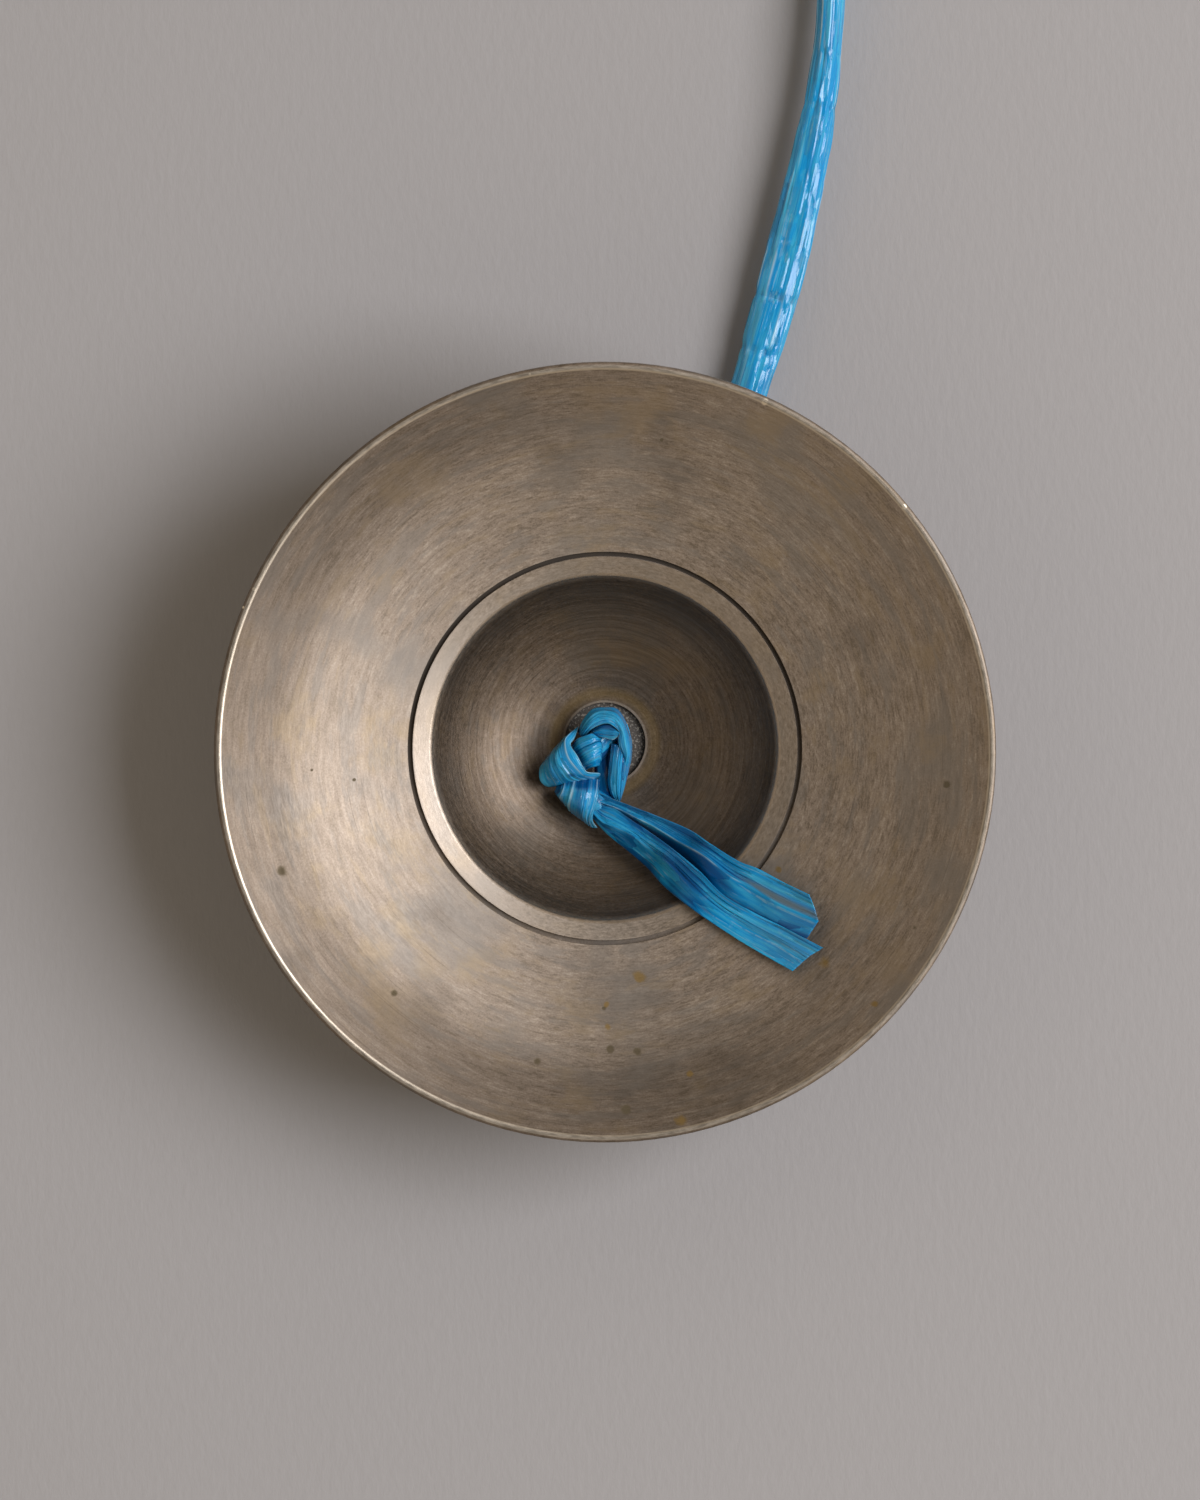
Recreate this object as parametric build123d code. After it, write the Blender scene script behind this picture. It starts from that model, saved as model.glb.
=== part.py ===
from build123d import *
import math
import os

# A pair of tingsha: two turned bronze cymbals that lie hollow side up, tied together by one cord
# of blue plastic film. Lengths are in millimetres and angles in degrees. +Z is up, +Y runs from
# the near cymbal to the far one, and the origin is midway between their rims, on the surface.

# Rim and dish of a cymbal, measured from its axis and from the flat foot of its boss
rim_radius = 32.5
rim_height = 16.8
rim_edge = 3.0
lip_width = 0.25
lip_round = 0.25
crest_round = 0.5
edge_round = 0.6
flange_wall = 3.1
flange_hollow = 0.6
groove_width = 0.42
groove_depth = 0.35

# Boss and cup
cup_radius = 14.6
cup_edge_round = 0.4
cup_bulge = 1.75
land_width = 1.54
land_height = 10.2
boss_wall = 3.0
dome_bulge = 2.4
neck_round = 2.5
foot_radius = 6.5
floor_wall = 3.4
recess_radius = 3.45
recess_depth = 0.5
bore_radius = 2.1
mouth_round = 1.2

# How the pair lies: each cymbal leans on the cord that runs out under it
rim_spacing = (25.0, -130.0)
lean = 4.0
near_turn = 0.0
far_turn = -87.0
exit_heading = 66.0

# Cord of bunched film, its knot and its cut ends
cord_diameter = 3.4
cord_clearance = 0.35
mouth_clearance = 0.25
bend_share = 0.45
first_run = 10.0
spread_start = -2.0
spread_width = 3.2
spread_height = 0.24
spread_past_foot = 0.5
spread_edge_width = 6.0
spread_edge_height = 0.4
bunching_run = 6.0
knot_centre = (-1.3, -1.9)
knot_turn = -12.0
knot_strand = 2.6
knot_loop_radius = 2.0
knot_loop_run = 2.6
knot_seat_gap = 0.55
wrap_radius = 2.15
wrap_waist = 1.75
wrap_length = 4.0
side_wrap_place = (-3.25, -1.3)
side_wrap_heading = 62.0
end_wrap_place = (-1.75, -5.0)
end_wrap_heading = 148.0
tail_thickness = 0.4
tail_edge_gap = 0.55
tail_end_gap = 0.6
tail_bend = 6.0
tail_lift = 0.65
lower_tail_root = (-0.9, -6.1)
lower_tail_heading = -33.2
lower_tail_length = 21.3
lower_tail_widths = (2.2, 3.0)
upper_tail_root = (-0.2, -4.9)
upper_tail_heading = -28.6
upper_tail_length = 19.8
upper_tail_widths = (2.6, 3.8)
tail_end_skew = 1.6

# Sizes that follow from those above
groove_radius = cup_radius + land_width + groove_width / 2
lip_radius = rim_radius - lip_round - lip_width
shank_radius = bore_radius - cord_clearance
pivot_height = mouth_clearance + shank_radius
knot_height = floor_wall + knot_seat_gap + wrap_radius
spread_edge = foot_radius + spread_past_foot
lead_start = spread_edge + bunching_run
cord_rest = cord_diameter / 2

os.makedirs("parts", exist_ok=True)


def direction(heading):
    angle = math.radians(heading)
    return Vector(math.cos(angle), math.sin(angle), 0)


def corner(face, radius, height):
    return face.vertices().sort_by_distance((radius, height, 0))[0]


def cymbal():
    """One cymbal about Z, standing on its foot at height 0: a half section turned once round."""
    dome_radius = cup_radius + boss_wall
    recess_height = floor_wall - recess_depth
    boss = make_face([
        Line((bore_radius, 0), (foot_radius, 0)),
        SagittaArc((foot_radius, 0), (dome_radius, land_height), -dome_bulge),
        Line((dome_radius, land_height), (cup_radius, land_height)),
        SagittaArc((cup_radius, land_height), (recess_radius, floor_wall), cup_bulge),
        Polyline((recess_radius, floor_wall), (recess_radius, recess_height),
                 (bore_radius, recess_height), (bore_radius, 0)),
    ])
    root_radius = cup_radius + boss_wall / 3
    under_rim = rim_height - rim_edge
    under_root = land_height - flange_wall
    flange = make_face([
        Line((root_radius, under_root), (cup_radius, land_height)),
        SagittaArc((cup_radius, land_height), (lip_radius, rim_height), -flange_hollow),
        Polyline((lip_radius, rim_height), (rim_radius, rim_height), (rim_radius, under_rim)),
        SagittaArc((rim_radius, under_rim), (root_radius, under_root), flange_hollow),
    ])
    groove = Pos(groove_radius, dish_height(groove_radius)) * Rectangle(groove_width, 2 * groove_depth)
    section = (boss + flange - groove).face()
    for radius, height, size in [
        (dome_radius, under_root, neck_round),
        (cup_radius, land_height, cup_edge_round),
        (lip_radius, rim_height, crest_round),
        (rim_radius, rim_height, lip_round),
        (rim_radius, under_rim, edge_round),
        (bore_radius, 0, mouth_round),
    ]:
        section = fillet(corner(section, radius, height), size).face()
    return revolve(Plane.XZ * section, Axis.Z)


def dish_height(radius):
    """Height of the dish, whose hollow face is an arc from the cup's edge to the lip."""
    run, rise = lip_radius - cup_radius, rim_height - land_height
    chord = math.hypot(run, rise)
    arc = (chord ** 2 / 4 + flange_hollow ** 2) / (2 * flange_hollow)
    centre_radius = cup_radius + run / 2 - rise / chord * (arc - flange_hollow)
    centre_height = land_height + rise / 2 + run / chord * (arc - flange_hollow)
    return centre_height - math.sqrt(arc ** 2 - (radius - centre_radius) ** 2)


def wrap(place, heading):
    """A band of film wound round the strand that runs along the heading, as a barrel."""
    half = wrap_length / 2
    barrel = make_face([
        Polyline((-half, wrap_waist), (-half, 0), (half, 0), (half, wrap_waist)),
        SagittaArc((half, wrap_waist), (-half, wrap_waist), wrap_radius - wrap_waist),
    ])
    return Pos(*place, knot_height) * Rot(0, 0, heading) * revolve(barrel, Axis.X)


def knot():
    """Overhand knot in the cup, with its shank down the bore to a round end in the mouth."""
    shank = Pos(0, 0, pivot_height) * Sphere(shank_radius)
    shank += Pos(0, 0, pivot_height) * extrude(Circle(shank_radius), knot_height - pivot_height)
    loop = Pos(*knot_centre, knot_height) * Rot(0, 0, knot_turn + 90)
    track = SlotCenterToCenter(knot_loop_run, 2 * knot_loop_radius).wire()
    strand = Plane(track @ 0, z_dir=track % 0) * Circle(knot_strand / 2)
    ring = loop * sweep(strand, path=track)
    side = wrap(side_wrap_place, side_wrap_heading)
    end = wrap(end_wrap_place, end_wrap_heading)
    return shank + ring + side + end


def tail(root, heading, length, widths, lift):
    """One cut end of the film: a strip that climbs out of the cup and lies over the dish."""
    along = direction(heading)
    start = Vector(*root, 0)
    nearest = -start.dot(along)
    edge_run = nearest + math.sqrt(nearest ** 2 + cup_radius ** 2 - start.length ** 2)
    end_height = dish_height((start + along * length).length) + tail_end_gap
    lower = FilletPolyline(
        (0, knot_height + lift),
        (edge_run - tail_edge_gap, land_height + tail_edge_gap + lift),
        (length, end_height + lift),
        radius=tail_bend,
    )
    upper = Pos(0, tail_thickness) * lower
    strip = make_face([lower, upper, Line(lower @ 0, upper @ 0), Line(lower @ 1, upper @ 1)])
    upright = Plane(start, x_dir=along, z_dir=along.cross(Vector(0, 0, 1)))
    sheet = extrude(upright * strip, amount=widths[1], both=True)
    near_half, far_half = widths[0] / 2, widths[1] / 2
    outline = make_face(Polyline(
        (0, -near_half), (length - tail_end_skew, -far_half), (length, far_half), (0, near_half),
        close=True,
    ))
    flat = Plane(start, x_dir=along)
    return sheet & extrude(flat * outline, amount=rim_height + tail_thickness)


def spread():
    """The film where it is pressed flat under the boss, and bunches again beyond it."""
    along = direction(exit_heading)
    stations = [
        (spread_start, spread_width, spread_height),
        (spread_edge, spread_edge_width, spread_edge_height),
        (lead_start, cord_diameter, cord_diameter),
    ]
    rings = []
    for run, width, height in stations:
        centre = along * run + Vector(0, 0, height / 2)
        across = Plane(centre, x_dir=Vector(0, 0, 1).cross(along), z_dir=along)
        rings.append(across * Ellipse(width / 2, height / 2))
    return loft(rings, ruled=True)


def lead(points):
    """The free cord between the two bosses: straight runs joined by arcs as large as they allow."""
    runs = [b - a for a, b in zip(points, points[1:])]
    radii = []
    for a, b in zip(runs, runs[1:]):
        half_turn = math.radians(a.get_angle(b)) / 2
        radii.append(bend_share * min(a.length, b.length) / math.tan(half_turn))
    print("cord radii", [round(r, 1) for r in radii])
    path = FilletPolyline(*points, radius=radii)
    section = Plane(path @ 0, z_dir=path % 0) * Circle(cord_diameter / 2)
    tube = sweep(section, path=path)
    ideal = math.pi * (cord_diameter / 2) ** 2 * path.length
    print("cord length", round(path.length, 2), "volume ratio", round(tube.volume / ideal, 5))
    return tube


# Mouth of each bore on the surface, from the place of its rim
mouth_height = foot_radius * math.sin(math.radians(lean))
rim_shift = rim_height * math.sin(math.radians(lean))
half_spacing = Vector(rim_spacing[0] / 2, rim_spacing[1] / 2, 0)
near_mouth = half_spacing + direction(near_turn + 90) * rim_shift
far_mouth = -half_spacing + direction(far_turn + 90) * rim_shift

# Route of the free cord, chosen by hand after the photograph, then curving to the far cymbal
near_exit = near_mouth + Vector(0, 0, cord_rest)
far_exit = far_mouth + Vector(0, 0, cord_rest)
near_heading = direction(near_turn + exit_heading)
far_heading = direction(far_turn + exit_heading)
route = [
    near_exit + near_heading * lead_start,
    near_exit + near_heading * (lead_start + first_run),
    Vector(25.7, -31.5, cord_rest + 1.2),
    Vector(29.0, -18.5, cord_rest + 1.8),
    Vector(31.3, -5.0, cord_rest + 1.5),
    Vector(31.9, 9.5, cord_rest + 0.8),
    Vector(29.8, 24.0, cord_rest + 0.2),
    Vector(25.0, 37.0, cord_rest),
    Vector(18.0, 48.0, cord_rest),
    far_exit + far_heading * (lead_start + first_run),
    far_exit + far_heading * lead_start,
]

nodes = {"cord_lead": lead(route)}
halves = {"near": (near_mouth, near_turn), "far": (far_mouth, far_turn)}
for name, (mouth, turn) in halves.items():
    on_surface = Pos(mouth) * Rot(0, 0, turn)
    on_lean = Pos(mouth + Vector(0, 0, mouth_height)) * Rot(0, 0, turn) * Rot(lean, 0, 0)
    nodes[name + "_cymbal"] = on_lean * cymbal()
    nodes[name + "_knot"] = on_lean * knot()
    nodes[name + "_lower_tail"] = on_lean * tail(
        lower_tail_root, lower_tail_heading, lower_tail_length, lower_tail_widths, tail_lift)
    nodes[name + "_upper_tail"] = on_lean * tail(
        upper_tail_root, upper_tail_heading, upper_tail_length, upper_tail_widths, 0)
    nodes[name + "_spread"] = on_surface * spread()
    pivot = on_lean * Pos(0, 0, pivot_height)
    print(name, "pivot", pivot.position, "axis", (on_lean * Pos(0, 0, 1)).position - on_lean.position)

for name, solid in nodes.items():
    export_step(solid, f"parts/{name}.step")
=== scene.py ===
import bpy
import bmesh
import random
from math import cos, exp, hypot, pi, radians, sin, sqrt
from mathutils import Matrix, Vector, noise
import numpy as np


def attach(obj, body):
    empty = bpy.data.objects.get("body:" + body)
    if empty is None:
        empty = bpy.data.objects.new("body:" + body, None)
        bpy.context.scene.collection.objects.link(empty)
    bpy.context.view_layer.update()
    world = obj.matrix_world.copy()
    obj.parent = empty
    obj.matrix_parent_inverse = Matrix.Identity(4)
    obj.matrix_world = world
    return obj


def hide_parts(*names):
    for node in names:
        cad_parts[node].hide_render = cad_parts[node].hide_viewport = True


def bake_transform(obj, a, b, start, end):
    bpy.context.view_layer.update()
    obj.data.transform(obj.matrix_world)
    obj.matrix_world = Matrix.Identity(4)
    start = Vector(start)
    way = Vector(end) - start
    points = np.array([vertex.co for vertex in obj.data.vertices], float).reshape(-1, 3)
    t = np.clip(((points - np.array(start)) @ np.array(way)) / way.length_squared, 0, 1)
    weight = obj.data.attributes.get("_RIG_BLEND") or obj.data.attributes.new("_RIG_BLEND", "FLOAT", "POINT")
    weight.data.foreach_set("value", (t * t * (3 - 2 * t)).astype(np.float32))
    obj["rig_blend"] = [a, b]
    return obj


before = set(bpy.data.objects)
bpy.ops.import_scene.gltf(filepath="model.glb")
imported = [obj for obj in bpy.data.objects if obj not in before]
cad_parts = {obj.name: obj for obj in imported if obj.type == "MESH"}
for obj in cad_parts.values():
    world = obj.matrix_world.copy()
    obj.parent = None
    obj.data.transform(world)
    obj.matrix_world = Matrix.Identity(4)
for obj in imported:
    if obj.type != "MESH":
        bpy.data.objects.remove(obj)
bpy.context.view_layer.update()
scene = bpy.context.scene
scene.view_settings.view_transform = "Standard"
toMetres, toMillimetres = 0.001, 1000
print("frame loaded with", len(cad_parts), "nodes")

cameraLook = {"place": (0.012085, -0.06467, 0.6172), "lens": 173.4, "film": 36, "nearest": 0.01}

cameraData = bpy.data.cameras.new("photoCamera")
cameraData.sensor_fit = "VERTICAL"
cameraData.sensor_height = cameraLook["film"]
cameraData.lens = cameraLook["lens"]
cameraData.clip_start = cameraLook["nearest"]
photoCamera = bpy.data.objects.new("photoCamera", cameraData)
photoCamera.location = cameraLook["place"]  # looks straight down, +Y up the picture
scene.collection.objects.link(photoCamera)
scene.camera = photoCamera
print("camera set")


def splineLine(points, steps):  # points read from a smooth spline
    curve = bpy.data.curves.new("line", "CURVE")
    curve.dimensions = "3D"
    curve.resolution_u = steps
    spline = curve.splines.new("NURBS")
    spline.points.add(len(points) - 1)
    for point, spot in zip(spline.points, points):
        point.co = (*spot, 1)
    spline.order_u = 3
    spline.use_endpoint_u = True
    holder = bpy.data.objects.new("line", curve)
    mesh = bpy.data.meshes.new_from_object(holder)
    line = [vert.co.copy() for vert in mesh.vertices]
    bpy.data.meshes.remove(mesh)
    bpy.data.objects.remove(holder)
    bpy.data.curves.remove(curve)
    return line


def spanAt(count, share):  # which span of an even list a share falls in, and how far along it
    place = min(max(share, 0), 1) * (count - 1)
    i = min(int(place), count - 2)
    return i, place - i


def eased(part):
    return part * part * (3 - 2 * part)


def spotOn(line, share):  # place and heading at a share of a line
    i, part = spanAt(len(line), share)
    return line[i].lerp(line[i + 1], part), (line[i + 1] - line[i]).normalized()


def foldSpot(points, share):  # a smooth line through every point
    i, part = spanAt(len(points), share)
    a, b = Vector(points[i]), Vector(points[i + 1])
    before = (b - Vector(points[max(i - 1, 0)])) / 2
    after = (Vector(points[min(i + 2, len(points) - 1)]) - a) / 2
    return a.lerp(b, eased(part)) + before * (part * (1 - part) ** 2) - after * (part * part * (1 - part))


def between(values, share):  # eased value at a share of an even list
    i, part = spanAt(len(values), share)
    return values[i] + (values[i + 1] - values[i]) * eased(part)


def pleatPattern(columns, seed, closed=True, gaps=(1, 2, 2, 3)):  # ridges and valleys across a bunch of film
    chance = random.Random(seed)
    lowest, highest = 0.3, 1
    knots, place, side = [], 0, 1
    while place < columns - 2:
        knots.append((place, side * chance.uniform(lowest, highest)))
        place += chance.choice(gaps)
        side = -side
    knots.append((columns, knots[0][1] if closed else -knots[-1][1]))
    heights = []
    for column in range(columns + 1):
        for (a, high), (b, low) in zip(knots, knots[1:]):
            if a <= column <= b:
                heights.append(high + (low - high) * (column - a) / (b - a))
                break
    return heights


def startFilm():
    bm = bmesh.new()
    bm.verts.layers.float_vector.new("filmLay")
    # this layer holds the film's real depth of layers plus painted shade in folds, under layers and in gaps
    bm.verts.layers.float.new("filmDepthAndShade")
    # this layer holds painted glints along fold edges and pleat ridges, and see-through haze where it is
    # negative
    bm.verts.layers.float.new("filmGlintAndHaze")
    return bm


def filmGrid(bm, across, along, place):  # a sheet whose points go where place(column, row) says
    lay = bm.verts.layers.float_vector["filmLay"]
    foldShade = bm.verts.layers.float["filmDepthAndShade"]
    crease = bm.verts.layers.float["filmGlintAndHaze"]
    sheet = bmesh.ops.create_grid(bm, x_segments=across, y_segments=along, size=0.5)
    for vert in sheet["verts"]:
        column, row = round((vert.co.x + 0.5) * across), round((vert.co.y + 0.5) * along)
        vert.co, vert[lay], vert[foldShade], vert[crease] = place(column, row)


def finishFilm(bm, name, crisp, wall=0):  # closes seams and poles, and keeps the creases sharp
    seam, sliver = 1e-7, 1e-8
    bmesh.ops.remove_doubles(bm, verts=bm.verts, dist=seam)
    bmesh.ops.dissolve_degenerate(bm, edges=bm.edges, dist=sliver)
    bmesh.ops.recalc_face_normals(bm, faces=bm.faces)
    for face in bm.faces:
        face.smooth = True
    for edge in bm.edges:
        edge.smooth = edge.calc_face_angle(0) < radians(crisp)
    mesh = bpy.data.meshes.new(name)
    bm.to_mesh(mesh)
    bm.free()
    piece = bpy.data.objects.new(name, mesh)
    scene.collection.objects.link(piece)
    if wall:
        skin = piece.modifiers.new("filmWall", "SOLIDIFY")
        skin.thickness = wall
        skin.offset = 0
    return piece


cordLook = {
    "route": [
        (0.0177876, -0.0519520, 0.0017),
        (0.0218550, -0.0428166, 0.0017),
        (0.0256000, -0.0315000, 0.0029),
        (0.0291000, -0.0183000, 0.0035),
        (0.0317000, -0.0052000, 0.0032),
        (0.0319000, 0.0095000, 0.0025),
        (0.0298000, 0.0240000, 0.0019),
        (0.0250000, 0.0370000, 0.0017),
        (0.0180000, 0.0480000, 0.0017),
        (0.0101426, 0.0568189, 0.0017),
        (0.0008068, 0.0604026, 0.0017),
    ],
    "diameter": 0.0034,
    "length": 0.1260,
    "steps": 40,
    "around": 64,
    "widths": [3.4, 3.4, 3.3, 3.2, 3.2, 3.65, 3.75, 3.5, 3.15, 2.7, 2.3, 2.4, 2.9, 3.3, 3.4, 3.1, 2.7,
               2.6, 3.0, 3.4, 3.5, 3.2, 2.9, 3.0, 3.2, 3.4],  # mm, evenly along the free run
    "bulk": 6.6,  # width times height, mm2
    "room": 0.1,  # mm kept under the tube for its pleats
    "creases": {
        6.5: 0.6, 12.5: 0.9, 18.0: 0.4, 22.7: 1, 27.4: 1, 31.0: 0.3, 34.3: 0.45, 38.1: 0.4, 42.5: 0.3,
        44.1: 0.6, 48.4: 0.5, 57.0: 0.9, 63.5: 0.4, 71.0: 0.8, 76.0: 0.4, 84.5: 1, 90.0: 0.5, 98.0: 0.7,
        104.5: 0.4, 111.0: 0.9, 118.5: 0.5,
    },  # depth by mm along the free run
    "pleat": 0.06,
    "pleatSeed": 40,
    "pleatGaps": (1, 2, 2, 3, 4, 5),
    "steadyPleats": 0.6,  # those that run on past the creases
    "ownPleats": 0.6,  # those between two creases
    "change": 0.7,  # mm past a crease over which the pleats change
    "crumple": {"share": 0.8, "around": 0.2, "along": 0.3},
    "pinch": 0.2,
    "pinchReach": 0.34,
    "pinchCover": {"least": 0.5, "swing": 1.3, "around": 0.21},
    "ridgeGlint": {"above": 0.4, "least": 0.15, "around": 0.7, "along": 0.15, "gain": 3.4, "most": 0.95},
    "creaseGlint": {"share": 0.35, "skip": 4},
    "valleyShade": {"gain": 2, "most": 0.3, "lighter": 0.12},
    "crisp": 14,
}
spreadLook = {
    "runs": [-1.7, 0.5, 3.0, 5.0, 7.0, 8.5, 10.0, 11.5, 13.0],  # mm from the mouth
    "widths": [2.9, 3.4, 4.2, 5.0, 5.7, 5.2, 4.5, 3.8, 3.4],
    "heights": [0.18, 0.2, 0.26, 0.3, 0.34, 0.7, 1.2, 1.65, 1.94],
    "gap": 0.02,
    "room": 0.08,
    "bendEnd": 9.0,
}
pairLie = {
    "lean": 4.0,
    "exitHeading": 66,
    "near": {
        "mouth": (0.0125, -0.0638281, 0.0004534),
        "turn": 0,
        "pivot": (0.0125, -0.0639676, 0.0024486),
    },
    "far": {
        "mouth": (-0.0113297, 0.0650613, 0.0004534),
        "turn": -87,
        "pivot": (-0.0114690, 0.0650540, 0.0024486),
    },
}
cordPleats = [
    pleatPattern(cordLook["around"], cordLook["pleatSeed"] + k, gaps=cordLook["pleatGaps"])
    for k in range(len(cordLook["creases"]) + 2)
]  # one for each run between creases, and the last for pleats that run on


def cordPleat(column, run):  # pleats change at each cross crease, and the film is pinched there
    look, cover = cordLook, cordLook["pinchCover"]
    crumple, glints = look["crumple"], look["ridgeGlint"]
    creases = list(look["creases"])
    before = sum(crease < run for crease in creases)
    height = cordPleats[before][column]
    if before:
        past = min((run - creases[before - 1]) / look["change"], 1)
        height = cordPleats[before - 1][column] * (1 - past) + height * past
    height = look["steadyPleats"] * cordPleats[-1][column] + look["ownPleats"] * height
    nearest = min(creases, key=lambda crease: abs(crease - run))
    covered = cover["least"] + cover["swing"] * noise.noise((column * cover["around"], nearest, 3))
    pinch = exp(-((run - nearest) / look["pinchReach"]) ** 2) * max(0, covered)
    pinch *= look["creases"][nearest]
    drift = noise.noise((column * crumple["around"], run * crumple["along"], 7))
    # painted highlight: glints on the pleat ridges, broken up by noise
    worn = glints["least"] + noise.noise((column * glints["around"], run * glints["along"], 5))
    glint = max(0, height - glints["above"]) * max(0, worn)
    return look["pleat"] * (height + crumple["share"] * drift) - look["pinch"] * pinch, pinch, glint


def cordTube(bm, stations):  # stations: centre, heading, width, height and run, in mm
    around, last = cordLook["around"], len(stations) + 1
    valleyShade, glints, creaseGlint = cordLook["valleyShade"], cordLook["ridgeGlint"], cordLook["creaseGlint"]

    def place(column, row):
        centre, heading, width, height, run = stations[min(max(row - 1, 0), last - 2)]
        side = heading.cross(Vector((0, 0, 1))).normalized()
        up = side.cross(heading)
        turn = 2 * pi * (column % around) / around
        rise, pinch, glint = cordPleat(column % around, run)
        full = 0 if row in (0, last) else 1
        grow = full * rise * min(1, height)
        x = full * cos(turn) * width / 2 + cos(turn) * grow
        y = full * sin(turn) * height / 2 + sin(turn) * grow
        # painted shade in the pleat valleys, less a small lift that makes the whole cord lighter
        foldShade = min(max(-rise * valleyShade["gain"], 0), valleyShade["most"]) - valleyShade["lighter"]
        # the painted ridge glints go out in the glint value
        pale = min(glints["most"], glints["gain"] * glint)
        # painted highlight: a pale line along each pinched crease
        if column % creaseGlint["skip"]:
            pale += creaseGlint["share"] * min(1, pinch)
        return (centre + side * x + up * y) * toMetres, (x, y, run), foldShade, pale

    filmGrid(bm, around, last, place)


cordLine = splineLine(cordLook["route"], cordLook["steps"])
stations, run = [], 0
for i, spot in enumerate(cordLine):
    ahead, behind = cordLine[min(i + 1, len(cordLine) - 1)], cordLine[max(i - 1, 0)]
    run += (spot - behind).length * toMillimetres
    width = between(cordLook["widths"], run / (cordLook["length"] * toMillimetres))
    height = cordLook["bulk"] / width
    drop = height / 2 - cordLook["diameter"] * toMillimetres / 2  # its underside stays where the route's is
    centre = spot * toMillimetres + Vector((0, 0, drop + cordLook["room"]))
    stations.append((centre, (ahead - behind).normalized(), width, height, run))
print("cord spline is", round(run, 2), "mm long")
bm = startFilm()
cordTube(bm, stations)
cordFilm = finishFilm(bm, "cordFilm", cordLook["crisp"])
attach(cordFilm, "cord")
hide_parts("cord_lead")


def cordSpread(side):  # the film pressed flat under a boss
    lie, look = pairLie[side], spreadLook
    heading = radians(lie["turn"] + pairLie["exitHeading"])
    out = Vector((cos(heading), sin(heading), 0))
    mouth = Vector(lie["mouth"]) * toMillimetres
    mouth.z = 0
    made = []
    for reach, width, height in zip(look["runs"], look["widths"], look["heights"]):
        run = reach - look["runs"][-1] if side == "near" else stations[-1][4] + look["runs"][-1] - reach
        middle = height / 2 + look["gap"] + look["room"] * min(1, height)
        centre = mouth + out * reach + Vector((0, 0, middle))
        made.append((centre, out if side == "near" else -out, width, height, run))
    made[-1] = stations[0] if side == "near" else stations[-1]
    if side == "far":
        made.reverse()
    bm = startFilm()
    cordTube(bm, made)
    film = finishFilm(bm, side + "SpreadFilm", cordLook["crisp"])
    pivot = Vector(lie["pivot"])
    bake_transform(film, side + "_knot", "cord", start=pivot, end=pivot + out * look["bendEnd"] * toMetres)
    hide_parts(side + "_spread")
    return film


spreads = {side: cordSpread(side) for side in ("near", "far")}
print("cord and its flat ends made")


def halfPlace(side):  # local millimetres of a cymbal to the shared frame
    lie = pairLie[side]
    lean = Matrix.Rotation(radians(pairLie["lean"]), 4, "X")
    turned = Matrix.Rotation(radians(lie["turn"]), 4, "Z") @ lean
    return Matrix.Translation(lie["mouth"]) @ turned @ Matrix.Scale(toMetres, 4)


hollowArcs = {  # a cymbal's upper face, in mm: each arc's end, its centre out and up, and its radius squared
    "cup": {"end": 14.6, "centre": (3.137, 16.454), "square": 170.5},
    "dish": {"end": 32.0, "centre": (-2.182, 80.680), "square": 5249.0},
}


def hollowHeight(radius):
    arc = hollowArcs["cup" if radius < hollowArcs["cup"]["end"] else "dish"]
    out, up = arc["centre"]
    return up - sqrt(arc["square"] - max(0, min(radius, arc["end"]) - out) ** 2)


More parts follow.
